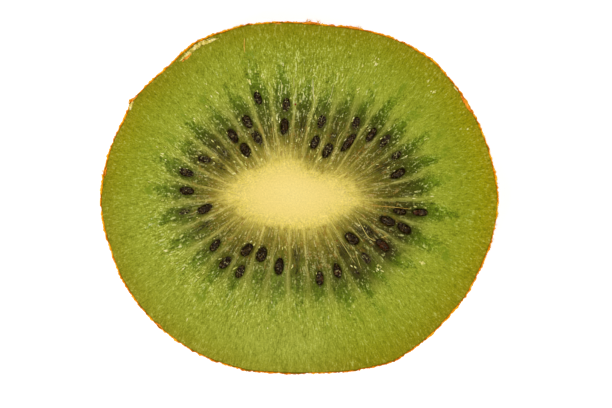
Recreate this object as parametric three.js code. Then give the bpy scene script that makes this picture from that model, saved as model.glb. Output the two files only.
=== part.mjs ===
// A slice cut across a kiwi fruit near its fattest place, in millimetres, with +Z up.
// It is one grown piece: a pale core, green flesh with seed chambers, and a thin peel round the side.
// It lies on its smaller cut face. The origin is on that face, under the middle of the slice.

import * as THREE from "three";

// Driving dimensions of the slice.
const MEAN_RADIUS = 24.66;
const THICKNESS = 8;

// The peel side is a short stretch of the whole fruit's barrel.
const FRUIT_HALF_LENGTH = 33;
const FATTEST_BELOW_TOP = 1.2;

// What makes the cut outline more than a circle: how many swells go round it, how far each stands
// out, and the bearing of a peak in degrees, anticlockwise from +X.
const OUTLINE_SWELLS = [
  { count: 1, height: 0.15, bearing: -51 },
  { count: 2, height: 1.3, bearing: 0 },
  { count: 4, height: 0.23, bearing: 38 },
  { count: 6, height: 0.2, bearing: -3 },
  { count: 7, height: 0.09, bearing: -2 },
];

// The pale core is an oval, a little off the middle, and stands slightly proud of the flesh.
const CORE_X = -0.72;
const CORE_Y = 0.36;
const CORE_HALF_WIDTH = 9;
const CORE_HALF_DEPTH = 4.7;
const CORE_RISE = 0.2;

// Soft seed chambers fan out round the core and sink a little below the cut.
// Their start and end are shares of the way from the core's edge to the peel.
const CHAMBER_COUNT = 32;
const CHAMBER_SINK = 0.22;
const CHAMBER_START = 0.04;
const CHAMBER_END = 0.64;

// The flesh pulls down a little where it meets the peel.
const RIM_DROP = 0.12;
const RIM_START = 0.94;

// How finely the surface is divided.
const SECTORS = CHAMBER_COUNT * 5;
const CORE_RINGS = 3;
const FLESH_RINGS = 14;
const SIDE_RINGS = 6;

const FLESH_COLOUR = 0x979c33;
const FLESH_ROUGHNESS = 0.35;

function outlineRadius(bearing) {
  let radius = MEAN_RADIUS;
  for (const swell of OUTLINE_SWELLS) {
    const peak = THREE.MathUtils.degToRad(swell.bearing);
    radius += swell.height * Math.cos(swell.count * (bearing - peak));
  }
  return radius;
}

// The share of the fruit's widest girth at a height of the slice.
function barrelShare(height) {
  const fromFattest = height - (THICKNESS - FATTEST_BELOW_TOP);
  return Math.sqrt(1 - (fromFattest / FRUIT_HALF_LENGTH) ** 2);
}

// Reach runs from 0 at the core's middle to 1 at the core's edge and 2 at the peel, so that lines of
// equal bearing fan out from the oval core as the seed chambers do.
function placeInFan(reach, bearing, height) {
  const across = CORE_HALF_WIDTH * Math.cos(bearing);
  const along = CORE_HALF_DEPTH * Math.sin(bearing);
  if (reach <= 1) {
    return new THREE.Vector3(CORE_X + reach * across, CORE_Y + reach * along, height);
  }
  const coreEdge = new THREE.Vector3(CORE_X + across, CORE_Y + along, height);
  const girth = outlineRadius(bearing) * barrelShare(height);
  const peel = new THREE.Vector3(girth * Math.cos(bearing), girth * Math.sin(bearing), height);
  return coreEdge.lerp(peel, reach - 1);
}

// How far the upper cut face stands above or below the flat of the knife's cut.
function cutRelief(reach, bearing) {
  if (reach <= 1) {
    return CORE_RISE * (1 - reach ** 4);
  }
  const fromCore = reach - 1;
  if (fromCore > RIM_START) {
    return (-RIM_DROP * (fromCore - RIM_START)) / (1 - RIM_START);
  }
  const alongChamber = (fromCore - CHAMBER_START) / (CHAMBER_END - CHAMBER_START);
  if (alongChamber <= 0 || alongChamber >= 1) {
    return 0;
  }
  const acrossChambers = 0.5 + 0.5 * Math.cos(CHAMBER_COUNT * bearing);
  return -CHAMBER_SINK * Math.sin(Math.PI * alongChamber) * acrossChambers;
}

// The slice's section from the middle of the underside, up the peel side and in to the core, with
// reach in the place of radius.
function sliceProfile() {
  const profile = [new THREE.Vector2(0, 0)];
  for (let ring = 0; ring <= SIDE_RINGS; ring += 1) {
    profile.push(new THREE.Vector2(2, (THICKNESS * ring) / SIDE_RINGS));
  }
  for (let ring = FLESH_RINGS - 1; ring >= 0; ring -= 1) {
    profile.push(new THREE.Vector2(1 + ring / FLESH_RINGS, THICKNESS));
  }
  for (let ring = CORE_RINGS - 1; ring >= 0; ring -= 1) {
    profile.push(new THREE.Vector2(ring / CORE_RINGS, THICKNESS));
  }
  return profile;
}

function sliceGeometry() {
  const geometry = new THREE.LatheGeometry(sliceProfile(), SECTORS);
  geometry.rotateX(Math.PI / 2);
  const position = geometry.getAttribute("position");
  const turned = new THREE.Vector3();
  for (let index = 0; index < position.count; index += 1) {
    turned.fromBufferAttribute(position, index);
    const reach = Math.hypot(turned.x, turned.y);
    const bearing = Math.atan2(turned.y, turned.x);
    const placed = placeInFan(reach, bearing, turned.z);
    const onUpperCut = turned.z > THICKNESS - 0.01;
    const relief = onUpperCut ? cutRelief(reach, bearing) : 0;
    position.setXYZ(index, placed.x, placed.y, placed.z + relief);
  }
  geometry.computeBoundingBox();
  const middle = geometry.boundingBox.getCenter(new THREE.Vector3());
  geometry.translate(-middle.x, -middle.y, 0);
  geometry.computeVertexNormals();
  return geometry;
}

function kiwiSlice() {
  const flesh = new THREE.MeshStandardMaterial({
    color: FLESH_COLOUR,
    roughness: FLESH_ROUGHNESS,
    metalness: 0,
  });
  const slice = new THREE.Mesh(sliceGeometry(), flesh);
  slice.name = "kiwi_slice";
  return slice;
}

const group = new THREE.Group();
group.add(kiwiSlice());

export default group;
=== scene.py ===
import math
import random

import bpy
import numpy as np
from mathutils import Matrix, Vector
from mathutils.bvhtree import BVHTree


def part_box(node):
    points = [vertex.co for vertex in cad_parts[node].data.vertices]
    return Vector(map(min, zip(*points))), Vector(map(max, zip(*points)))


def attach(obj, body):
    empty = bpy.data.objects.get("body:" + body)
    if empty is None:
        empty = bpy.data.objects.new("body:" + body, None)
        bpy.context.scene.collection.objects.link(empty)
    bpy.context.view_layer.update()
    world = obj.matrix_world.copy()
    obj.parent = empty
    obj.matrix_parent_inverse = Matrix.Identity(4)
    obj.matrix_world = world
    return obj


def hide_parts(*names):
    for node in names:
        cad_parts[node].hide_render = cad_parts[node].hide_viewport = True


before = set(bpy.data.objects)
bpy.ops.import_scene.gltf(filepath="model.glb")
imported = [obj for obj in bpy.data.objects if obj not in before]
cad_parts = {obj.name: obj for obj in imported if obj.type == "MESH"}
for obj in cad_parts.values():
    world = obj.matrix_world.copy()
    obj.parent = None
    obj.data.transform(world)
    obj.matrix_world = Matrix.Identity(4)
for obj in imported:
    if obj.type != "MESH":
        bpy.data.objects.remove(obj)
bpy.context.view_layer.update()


# ------------------------------------------------------------
# Flesh. The slice itself: soft green fruit round a dense, pale, oval core, with thirty-two seed
# chambers fanned out from the core and pale walls between them. It is one grown piece, cut flat
# with a knife on both sides, wet on the cuts, and bare where the peel has come away.

mm = 0.001
slice_low, slice_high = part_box("kiwi_slice")
core_rise = 0.2
thickness = (slice_high.z - slice_low.z) / mm - core_rise
half_width = (slice_high.x - slice_low.x) / mm / 2
half_depth = (slice_high.y - slice_low.y) / mm / 2
middle_x = (slice_high.x + slice_low.x) / mm / 2
middle_y = (slice_high.y + slice_low.y) / mm / 2

mean_radius = 24.66
# Waves in the outline: how many go once round, their height, and the bearing of one peak in degrees.
outline_swells = [(1, 0.15, -51), (2, 1.3, 0), (4, 0.23, 38), (6, 0.2, -3), (7, 0.09, -2)]
# Small nicks (less than 0) and swells in the outline: bearing, width in degrees and depth.
outline_nicks = [
    (10, 8, -0.15), (45, 4, 0.13), (115, 4, -0.1), (124, 3, 0.12), (136, 7, -0.33), (150, 2.6, 0.3),
    (157, 5, -0.18), (181, 7, 0.2), (195, 4, -0.1), (255, 5, 0.12), (300, 4, 0.17), (330, 6, 0.24)]
fruit_half_length = 33
fattest_below_cut = 1.2
core_x, core_y = -0.72, 0.36
core_half_width, core_half_depth = 9.0, 4.7
peel_thickness = 0.2
rim_drop = 0.1

# Each chamber: the bearing in degrees of the wall before it, at the core's edge and half way out; how
# far its tip reaches from the core (0) to the peel (1); how pale that wall and the chamber's jelly are,
# both from 0 to 1 (less than 0 is darker); and its seeds. A seed has its reach, how many degrees it
# lies aside of the chamber's middle, and how deep it lies: 0 on the cut, 1 half sunk in the jelly, 2
# just under the surface. An odd one adds its length and width against the usual, its turn in degrees
# and how red it is.
chambers = [
    (-7, -0.5, 0.61, 0.7, -0.2, []),
    (7.5, 12, 0.64, 0.2, 0, [(0.3, 0, 0, 1.05, 0.95, 8, 0.1)]),
    (19, 21, 0.60, -0.6, -0.1, [(0.35, 0.6, 1, 0.75, 0.8), (0.21, -0.8, 2)]),
    (26.5, 31.5, 0.59, 0.25, 0, [(0.35, 1.4, 1, 1.15, 1, 10)]),
    (39, 42, 0.63, 0.25, 0, [(0.32, -1, 0, 1.1, 0.85)]),
    (49, 52, 0.58, 0.4, 0.15, [(0.34, 0.7, 1, 0.95, 1, 8), (0.195, -1.1, 0, 1.42, 0.92, -12, 0.35)]),
    (58, 61, 0.55, 0, 0.15, [(0.09, 0.4, 0, 1.05, 1.05, -8), (0.19, 0.6, 2)]),
    (70, 69.5, 0.55, 0.45, 0.45, [(0.29, -1.5, 1, 0.95), (0.13, -0.7, 0, 0.95, 0.95, -6)]),
    (83, 80.5, 0.56, 0.9, 0.2, [(0.26, -1.4, 2, 1, 0.85)]),
    (92.5, 90.5, 0.67, 1.25, 0.5, [(0.39, -1.7, 0.9, 1.05, 0.95, -8),
        (0.24, -0.2, 0, 1.1, 0.95, -12, 0.3)]),
    (101, 102, 0.69, 1, 0.3, [(0.465, 1.3, 0.6, 0.95, 0.9, 6)]),
    (108.5, 113, 0.58, 1, 0.2, [(0.32, -0.2, 0.3, 0.95), (0.185, -1.2, 1, 1.15, 1.1, 10)]),
    (119.5, 125, 0.54, 0.45, 0.3, [(0.265, -0.8, 0, 1.03, 0.92, -3), (0.13, -2.2, 0, 0.98, 1.08)]),
    (134, 136.5, 0.56, 0.35, -0.1, [(0.28, -0.9, 2, 1, 0.95), (0.19, -1, 2)]),
    (146, 147.5, 0.51, 0.9, 0, [(0.27, -1, 0.8, 0.95, 1, 18), (0.14, -4, 2)]),
    (163, 158, 0.61, 1, 0.6, [(0.345, 0, 0.8, 1, 1, 8)]),
    (174, 170, 0.56, 0.9, 0.45, [(0.31, -0.8, 0.3, 1, 0.95, 0, 0.1)]),
    (185.5, 184, 0.56, 0.9, 0.55, [(0.35, -1.8, 1.5, 0.95, 0.8), (0.18, 0.2, 0.2, 1, 0.95, 18)]),
    (200, 198.5, 0.55, 0.75, 0.65, [(0.25, -2.2, 2, 1, 0.95)]),
    (216, 211, 0.55, 1.1, 0.5, [(0.28, 0.5, 0.3, 0.98, 0.9, 15)]),
    (226, 223, 0.54, 0.5, 0.1, [(0.34, 0.8, 0.8, 1, 1, -12)]),
    (235, 234, 0.52, 0.3, 0.2, [(0.35, 0.4, 0.8), (0.19, -1.1, 0, 1, 1.12, -24)]),
    (245, 244, 0.44, 0.65, 0.6, [(0.19, -1.5, 0, 1, 1.18)]),
    (256.5, 254.5, 0.56, 0.3, 1.2, [(0.255, -0.6, 0, 1.1, 1.05, 5)]),
    (267, 266.5, 0.50, 0.4, 0.6, [(0.275, -1.1, 2, 0.8, 0.8), (0.17, -0.7, 2)]),
    (278.5, 276, 0.56, 0.2, 0.3, [(0.345, 0.8, 0.3, 1, 0.9, 0, 0.3)]),
    (288.5, 287, 0.59, 0, 0.2, [(0.31, 0.5, 0.2, 1.1, 0.95, -4, 0.6)]),
    (298.5, 299, 0.61, 0.2, -0.3, [(0.35, 0.3, 1.8, 0.95), (0.195, -0.4, 2)]),
    (304.5, 307.5, 0.52, -0.8, -0.2, [(0.31, 0, 1.2, 0.95, 0.95, 0, 0.2),
        (0.145, 0.6, 0, 1.1, 1.2, 18, 0.1)]),
    (316, 318, 0.54, -0.3, -1.1, [(0.315, 0.2, 0, 1.12, 0.95, 0, 0.6), (0.165, 0.8, 1.5, 1.1, 1, 10)]),
    (330.5, 331, 0.65, -0.15, -0.7, [(0.375, 2.3, 0, 1.02, 1.05, -16, 0.2), (0.24, 2, 0, 1.08, 1.05, 5)]),
    (343, 345, 0.65, -0.1, -0.5, [(0.44, -0.5, 0, 1, 0.92, 0, 0.5), (0.295, -2, 0, 0.85, 0.72, 0, 0.1)]),
]
columns_per_chamber = 14
# How far the flesh's grain runs once round the fan (as a radius), and from the core's edge to the peel.
fan_girth = 57
fan_length = 4
seed_length = 1.9
seed_width = 1.08
seed_thickness = 0.7


def outline_radius(bearing):
    radius = np.full_like(bearing, mean_radius)
    for count, height, peak in outline_swells:
        radius += height * np.cos(count * (bearing - math.radians(peak)))
    return radius


# The outline is stretched and shifted to fill the slice's box.
outline_steps = 2880
round_once = np.linspace(0, 2 * math.pi, outline_steps, endpoint=False)
outline_x = outline_radius(round_once) * np.cos(round_once)
outline_y = outline_radius(round_once) * np.sin(round_once)
fit_x = 2 * half_width / np.ptp(outline_x)
fit_y = 2 * half_depth / np.ptp(outline_y)
shift_x = middle_x - fit_x * (outline_x.max() + outline_x.min()) / 2
shift_y = middle_y - fit_y * (outline_y.max() + outline_y.min()) / 2


def swells(bearing, places):
    """The sum of smooth swells: each its bearing and width in degrees, and its height."""
    total = 0
    for at, width, height in places:
        off = (np.degrees(bearing) - at + 180) % 360 - 180
        total = total + height * np.exp(-((off / width) ** 2))
    return total


def fan_place(bearing, reach, level, inset=peel_thickness):
    """X and Y of a point of the fan. Reach is -1 at the core's middle, 0 at its edge, 1 at the peel."""
    from_fattest = level - (thickness - fattest_below_cut)
    barrel_share = np.sqrt(1 - (from_fattest / fruit_half_length) ** 2)
    girth = (outline_radius(bearing) + swells(bearing, outline_nicks)) * barrel_share - inset
    edge_x = core_half_width * np.cos(bearing)
    edge_y = core_half_depth * np.sin(bearing)
    away_x = girth * np.cos(bearing) - core_x - edge_x
    away_y = girth * np.sin(bearing) - core_y - edge_y
    inward = np.minimum(reach, 0)
    edge_share = 1 - inward ** 2
    away_share = np.maximum(reach, 0) + 0.5 * inward * (1 + inward) ** 2
    x = core_x + edge_share * edge_x + away_share * away_x
    y = core_y + edge_share * edge_y + away_share * away_y
    return shift_x + fit_x * x, shift_y + fit_y * y


def smooth_step(low, high, value):
    share = np.clip((value - low) / (high - low), 0, 1)
    return share * share * (3 - 2 * share)


wall_at_core, wall_half_way, chamber_tips, wall_paleness, jelly_paleness = [
    np.array([row[column] for row in chambers], float) for column in range(5)]
wall_at_core = np.append(wall_at_core, wall_at_core[0] + 360)
wall_half_way = np.append(wall_half_way, wall_half_way[0] + 360)


def wall_line(number, reach):
    """Bearing in degrees of a wall at a reach: it leans one way and wanders a little."""
    lean = np.clip(reach, 0, 0.6) / 0.5
    turn = number % len(chambers)
    wander = 0.45 * np.sin(9 * reach + 2.4 * turn) + 0.25 * np.sin(25 * reach + 1.7 * turn)
    wander = wander * smooth_step(0, 0.3, reach) * (1 - smooth_step(0.6, 0.9, reach))
    return wall_at_core[number] + (wall_half_way[number] - wall_at_core[number]) * lean + wander


def place_bearing(place, reach):
    """Bearing of a place counted in chambers: whole numbers are walls, halves are chamber middles."""
    number = np.floor(place).astype(int)
    share = place - number
    return np.radians(wall_line(number, reach) * (1 - share) + wall_line(number + 1, reach) * share)


def chamber_fields(place, reach):
    """How far across its chamber a point is (0 at the middle, 1 on a wall), how far past its tip, and
    how pale the nearest wall and the jelly are."""
    number = np.floor(place).astype(int)
    share = place - number
    across = np.abs(2 * share - 1)
    neighbour = np.where(share < 0.5, number - 1, number + 1) % len(chambers)
    tip = chamber_tips[number] + (chamber_tips[neighbour] - chamber_tips[number]) * 0.5 * across ** 2
    wall = wall_paleness[np.where(share < 0.5, number, number + 1) % len(chambers)]
    return across, reach - tip, wall, jelly_paleness[number]


# Where the core's edge is pinched in (more than 0) or bulges: bearing, width and depth.
core_pinches = [
    (4, 8, 0.03), (30, 10, 0.03), (62, 18, 0.06), (77, 7, 0.04), (99, 11, -0.08), (128, 9, 0.05),
    (147, 8, 0.035), (185, 12, -0.05), (205, 8, 0.035), (253, 5, 0.06), (285, 22, -0.02), (315, 10, 0.06),
    (332, 7, 0.04), (348, 8, -0.065)]
# Where the core's edge fades softly over a long way: bearing, width and depth.
core_fades = [(60, 20, 0.18), (25, 14, 0.05), (205, 14, 0.04), (78, 8, 0.04)]
# Where the wet cells catch the light most, which sets where highlights are painted: bearing, width, reach,
# length and strength.
glint_places = [
    (240, 34, 0.55, 0.14, 0.75), (195, 22, 0.55, 0.14, 0.6), (88, 18, 0.45, 0.28, 1.0),
    (150, 40, 0.45, 0.16, 0.6), (25, 20, 0.42, 0.1, 0.4), (285, 18, 0.6, 0.16, 0.2),
    (88, 26, 0.74, 0.13, 0.5)]
# Where the flesh is paler (more than 0) or deeper and yellower (less): bearing, width and strength.
pale_places = [
    (264, 26, 0.95), (215, 22, 0.38), (95, 30, -0.1), (8, 38, -0.8), (163, 22, -0.42), (125, 18, 0.15),
    (293, 12, -0.3), (185, 14, 0.3)]


def tone_reach(bearing, reach):
    """Reach as the flesh's colour follows it: further out where the core is pinched in."""
    near_core = smooth_step(-0.7, -0.1, reach) * (1 - smooth_step(0.0, 0.25, reach))
    in_core = smooth_step(-0.85, -0.35, reach) * (1 - smooth_step(-0.25, 0.02, reach))
    return reach + near_core * swells(bearing, core_pinches) + in_core * swells(bearing, core_fades)


def glint_strength(bearing, reach):
    return sum(swells(bearing, [(at, width, share)]) * np.exp(-(((reach - out) / length) ** 2))
               for at, width, out, length, share in glint_places)


def paleness(bearing, reach):
    pale = swells(bearing, pale_places)
    return pale * smooth_step(0.4, 0.8, reach) * (1 - 0.6 * smooth_step(0.8, 0.98, reach) * (pale > 0))


def add_seed(seeds, chamber, up, reach, aside, depth, long=1.0, wide=1.0, swing=0.0, red=0.0):
    """One seed's seat: its middle, the way it points, how deep it lies, its size and how red it is."""
    level = thickness if up > 0 else 0.0
    along = np.array([reach, reach + 0.05])
    bearing = place_bearing(np.array([chamber + 0.5, chamber + 0.5]), along) + math.radians(aside)
    x, y = fan_place(bearing, along, level)
    turn = math.atan2(y[1] - y[0], x[1] - x[0]) + seed_draw.uniform(-0.08, 0.08) + math.radians(swing)
    size = seed_draw.uniform(0.96, 1.04)
    seeds.append((x[0], y[0], turn, depth, size * long, size * wide, red))


seed_draw = random.Random(4)
upper_seeds = []
lower_seeds = []
for number, (_, _, tip, _, _, seats) in enumerate(chambers):
    for seat in seats:
        add_seed(upper_seeds, number, 1, *seat)
    for reach in (seed_draw.uniform(0.1, 0.24), seed_draw.uniform(0.3, tip - 0.12)):
        if seed_draw.random() < 0.8:
            add_seed(lower_seeds, number, -1, reach, seed_draw.uniform(-2, 2), seed_draw.choice((0, 1, 2)))


def by_depth(depth, *values):
    """A value for seeds on the cut, half sunk and just under the surface, and between these."""
    return np.interp(depth, (0, 1, 2), values)


def seed_fields(x, y, seeds):
    """The dark of seeds showing through the jelly and a painted shade round each seed on one cut,
    and the height of the hollows and lips they sit in.
    """
    shade = np.zeros_like(x)
    seat = np.zeros_like(x)
    for seed_x, seed_y, turn, depth, long, wide, _ in seeds:
        along = (x - seed_x) * math.cos(turn) + (y - seed_y) * math.sin(turn)
        aside = (y - seed_y) * math.cos(turn) - (x - seed_x) * math.sin(turn)
        gone = np.hypot(along / (seed_length * long / 2), aside / (seed_width * wide / 2))
        blur = by_depth(depth, 1.12, 1.25, 1.3)
        dark = by_depth(depth, 0.9, 0.75, 0.6)
        shade = np.maximum(shade, dark * (1 - smooth_step(blur - 0.6, blur, gone)))
        # A painted shade round every seed, fading out to nearly twice its size.
        shade = np.maximum(shade, 0.45 * (1 - smooth_step(0.9, 1.9, gone)))
        hollow = by_depth(depth, -0.3, -0.1, 0.05) * (1 - smooth_step(0.8, 1.3, gone))
        lip = by_depth(depth, 0.1, 0.06, 0.0) * np.exp(-((gone - 1.45) / 0.3) ** 2)
        seat += hollow + lip
    return shade, seat


def link_piece(name, mesh):
    piece = bpy.data.objects.new(name, mesh)
    bpy.context.scene.collection.objects.link(piece)
    return piece


def give_attribute(piece, name, values):
    """Stores one number, or one vector, at each point of a piece."""
    values = np.asarray(values, np.float32)
    kind, key = ("FLOAT", "value") if values.ndim == 1 else ("FLOAT_VECTOR", "vector")
    attribute = piece.data.attributes.new(name, kind, "POINT")
    attribute.data.foreach_set(key, values.ravel())


def make_piece(name, points, faces, **fields):
    """A smooth mesh object at the origin from points in millimetres, with its fields at each point."""
    mesh = bpy.data.meshes.new(name)
    mesh.from_pydata((np.asarray(points) * mm).tolist(), [], faces)
    mesh.shade_smooth()
    piece = link_piece(name, mesh)
    for field, values in fields.items():
        give_attribute(piece, field, values)
    return piece


def ring_faces(rings, sectors):
    """Quads between neighbouring rings of points that each go once round, anticlockwise."""
    ring, sector = np.meshgrid(np.arange(rings - 1), np.arange(sectors), indexing="ij")
    after = (sector + 1) % sectors
    corners = (ring * sectors + sector, (ring + 1) * sectors + sector)
    corners += ((ring + 1) * sectors + after, ring * sectors + after)
    return np.stack(corners, -1).reshape(-1, 4)


def tube_faces(rings, around, first=0, before=None, after=None, turn_over=False):
    """Faces of a tube of rings of points. Each end closes on its own point or, with none, flat.
    Turned over, the faces look the other way."""
    faces = (first + ring_faces(rings, around)).tolist()
    start = list(range(first, first + around))
    end = list(reversed(range(first + (rings - 1) * around, first + rings * around)))
    for edge, pole in ((start, before), (end, after)):
        closing = [[pole, *pair] for pair in zip(edge, edge[1:] + edge[:1])]
        faces += [edge] if pole is None else closing
    return [face[:1] + face[:0:-1] for face in faces] if turn_over else faces


def wet_flesh_mesh():
    """The slice from the upper core's middle out to the rim, down the side, and in underneath."""
    columns = columns_per_chamber * len(chambers)
    core_steps, upper_steps, side_steps, lower_steps, lower_core_steps = 20, 106, 8, 49, 11
    upper_reach = np.append(np.linspace(-1, 0, core_steps + 1)[1:], np.linspace(0, 1, upper_steps + 1)[1:])
    side_level = np.linspace(thickness - rim_drop, 0, side_steps + 1)[1:-1]
    lower_core_reach = np.linspace(0, -1, lower_core_steps + 1)[1:-1]
    lower_reach = np.append(np.linspace(1, 0, lower_steps + 1), lower_core_reach)
    reach = np.concatenate([upper_reach, 1 + 0 * side_level, lower_reach])[:, None]
    rim = smooth_step(0.94, 1, upper_reach)
    level = np.concatenate([thickness - rim_drop * rim, side_level, 0 * lower_reach])[:, None]
    up = np.concatenate([1 + 0 * upper_reach, 0 * side_level, -1 + 0 * lower_reach])[:, None]
    place = (np.arange(columns) / columns_per_chamber)[None, :]
    place, reach, level, up = np.broadcast_arrays(place, reach, level, up)
    bearing = place_bearing(place, reach)
    x, y = fan_place(bearing, reach, level)
    across, past_tip, wall, jelly = chamber_fields(place, reach)
    upper_shade, upper_seat = seed_fields(x, y, upper_seeds)
    lower_shade, lower_seat = seed_fields(x, y, lower_seeds)
    turn = 2 * math.pi * place / len(chambers)
    fan = np.stack([fan_girth * np.cos(turn), fan_girth * np.sin(turn), fan_length * reach], -1)
    pole_x, pole_y = shift_x + fit_x * core_x, shift_y + fit_y * core_y
    core_share = np.hypot((x - pole_x) / core_half_width / fit_x, (y - pole_y) / core_half_depth / fit_y)
    ripeness = np.where(reach < 0, core_share - 1, reach)
    points = np.stack([x, y, level], -1).reshape(-1, 3)
    poles = np.array([[pole_x, pole_y, thickness], [pole_x, pole_y, 0]])
    faces = tube_faces(len(reach), columns, 0, len(points), len(points) + 1)
    fields = {
        "reach": tone_reach(bearing, ripeness),
        "glint": glint_strength(bearing, reach),
        "pale": paleness(bearing, reach),
        "up": up,
        "across": across,
        "past_tip": past_tip,
        "wall": wall,
        "jelly": jelly,
        "seed_shade": np.where(up > 0, upper_shade, np.where(up < 0, lower_shade, 0)),
        "seat": np.where(up > 0, upper_seat, np.where(up < 0, lower_seat, 0)),
    }
    # What the middles of the upper and the lower cut have, where it isn't 0.
    at_poles = {"reach": (-1, -1), "up": (1, -1), "past_tip": (-1.5, -1.5)}
    fields = {name: np.append(values, at_poles.get(name, (0, 0))) for name, values in fields.items()}
    fields["fan"] = np.vstack([fan.reshape(-1, 3), [[0, 0, -fan_length]] * 2])
    return make_piece("flesh", np.vstack([points, poles]), faces, **fields)


class Wire:
    """What a node gives. Sums, differences and products of wires are made by further nodes."""

    def __init__(self, socket):
        self.socket = socket
        self.tree = socket.id_data

    def __getitem__(self, label):
        return Wire(self.socket.node.outputs[label])

    def __add__(self, other):
        return maths("ADD", self, other)

    def __sub__(self, other):
        return maths("SUBTRACT", self, other)

    def __rsub__(self, other):
        return maths("SUBTRACT", other, self)

    def __mul__(self, other):
        return maths("MULTIPLY", self, other)

    def __truediv__(self, other):
        return maths("DIVIDE", self, other)

    __radd__ = __add__
    __rmul__ = __mul__


def fill(socket, value):
    """Joins a node's input to a wire, or sets it to a plain value."""
    if isinstance(value, Wire):
        value.tree.links.new(value.socket, socket)
    else:
        socket.default_value = value


def add(tree, kind, *inputs, **others):
    """Adds a node and gives the wire of its first output. None leaves an input as it is. A name that
    starts with a capital is an input's; any other is a setting of the node."""
    node = tree.nodes.new(kind)
    for name, value in others.items():
        if name[0].islower():
            setattr(node, name, value)
    for place, value in enumerate(inputs):
        if value is not None:
            fill(node.inputs[place], value)
    for name, value in others.items():
        if name[0].isupper():
            fill(node.inputs[name], value)
    return Wire(node.outputs[0])


def maths(operation, *values):
    tree = next(value.tree for value in values if isinstance(value, Wire))
    return add(tree, "ShaderNodeMath", *values, operation=operation)


def at_least(value, low):
    return maths("MAXIMUM", value, low)


def at_most(value, high):
    return maths("MINIMUM", value, high)


def step(value, low, high):
    """0 below low, 1 above high, smooth between."""
    return add(value.tree, "ShaderNodeMapRange", value, low, high, 0.0, 1.0, interpolation_type="SMOOTHSTEP")


def scaled(vector, share):
    """A vector times a number, or stretched by three numbers."""
    if isinstance(share, tuple):
        return add(vector.tree, "ShaderNodeVectorMath", vector, share, operation="MULTIPLY")
    return add(vector.tree, "ShaderNodeVectorMath", vector, Scale=share, operation="SCALE")


def speckle(place, scale, detail=2.0, roughness=0.5):
    """Noise from 0 to 1 at a place; scale is features for each unit of that place."""
    return add(place.tree, "ShaderNodeTexNoise", place, Scale=scale, Detail=detail, Roughness=roughness)


def away(value):
    """How far a share lies from its middle."""
    return value - 0.5


def named(tree, name, kind="FLOAT"):
    return add(tree, "GeometryNodeInputNamedAttribute", Name=name, data_type=kind)["Attribute"]


def placed_at(tree):
    return add(tree, "GeometryNodeInputPosition")


def moved(mesh, offset):
    return add(mesh.tree, "GeometryNodeSetPosition", mesh, True, None, offset)


def run_tree(piece, build, **sizes):
    """Makes a geometry tree with a named input for each size, lets build fill it, runs it on a piece
    and keeps the plain mesh that comes out, with the surface on it."""
    kinds = {float: "Float", int: "Int", bpy.types.Object: "Object", bpy.types.Material: "Material"}
    tree = bpy.data.node_groups.new(build.__name__, "GeometryNodeTree")
    tree.is_modifier = True
    tree.interface.new_socket("Geometry", in_out="INPUT", socket_type="NodeSocketGeometry")
    tree.interface.new_socket("Geometry", in_out="OUTPUT", socket_type="NodeSocketGeometry")
    values = {}
    for label, value in sizes.items():
        kind = next(kind for sort, kind in kinds.items() if isinstance(value, sort))
        item = tree.interface.new_socket(label, in_out="INPUT", socket_type="NodeSocket" + kind)
        values[item.identifier] = value
    start = add(tree, "NodeGroupInput")
    done = add(tree, "GeometryNodeSetMaterial", build(tree, start), True, start["surface"])
    fill(tree.nodes.new("NodeGroupOutput").inputs[0], done)
    modifier = piece.modifiers.new(tree.name, "NODES")
    modifier.node_group = tree
    for identifier, value in values.items():
        modifier[identifier] = value
    depsgraph = bpy.context.evaluated_depsgraph_get()
    made = bpy.data.meshes.new_from_object(piece.evaluated_get(depsgraph), depsgraph=depsgraph)
    piece.modifiers.remove(modifier)
    made.name = piece.name
    piece.data = made


def chamber_share(across, past_tip, reach):
    """1 inside a chamber's jelly and 0 outside it, narrowing to its tip, with soft sides."""
    to_tip = at_least((past_tip + 0.3) / 0.38, 0.0)
    aside = maths("POWER", at_least(across, 0.0), 1.6)
    gone = maths("POWER", aside + maths("POWER", to_tip, 1.6), 0.625)
    return step(gone, 1.1, 0.56) * step(reach, -0.08, 0.1)


pressed_in = 0.05


def cut_relief(tree, start):
    """Raises the core and sinks the chambers and seed seats of a flat cut, with a fine wet grain. The
    lower cut only goes in, as the slice lies on it."""
    reach = named(tree, "reach")
    up = named(tree, "up")
    in_core = step(reach, 0.05, -0.55)
    in_chamber = chamber_share(named(tree, "across"), named(tree, "past_tip"), reach)
    place = scaled(placed_at(tree), 1 / mm)
    rough = (1.0 - in_core) * (in_chamber + 1.0)
    height = in_core * start["core_rise"] - in_chamber * start["chamber_sink"]
    height += away(speckle(place, 1.6)) * rough * start["grain_height"]
    height += away(speckle(named(tree, "fan", "FLOAT_VECTOR"), 0.55, 3.0)) * rough * start["streak_height"]
    height += named(tree, "seat")
    upper = height * at_least(up, 0.0)
    lower = at_least(pressed_in - height, 0.0) * at_least(up * -1.0, 0.0)
    offset = add(tree, "ShaderNodeCombineXYZ", 0.0, 0.0, (upper + lower) * mm)
    return moved(start, offset)


# How much brighter than its own colour a surface looks under the studio light.
light_strength = 1.45


def colour(*seen):
    """A surface's own colour from the 0 to 255 values it shows under the studio light."""
    seen = np.array(seen) / 255
    linear = np.where(seen < 0.04045, seen / 12.92, ((seen + 0.055) / 1.055) ** 2.4)
    return (*np.clip(linear / light_strength, 0, 1).tolist(), 1.0)


def ramp(value, stops, low=0.0, high=1.0):
    """A run of colours along a value that goes from low to high. Each stop: a value and its colour."""
    spread = add(value.tree, "ShaderNodeMapRange", value, low, high, 0.0, 1.0)
    run = add(value.tree, "ShaderNodeValToRGB", spread)
    elements = run.socket.node.color_ramp.elements
    while len(elements) < len(stops):
        elements.new(0.5)
    for element, (place, *shade) in zip(elements, stops):
        element.position = (place - low) / (high - low)
        element.color = colour(*shade)
    return run


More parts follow.
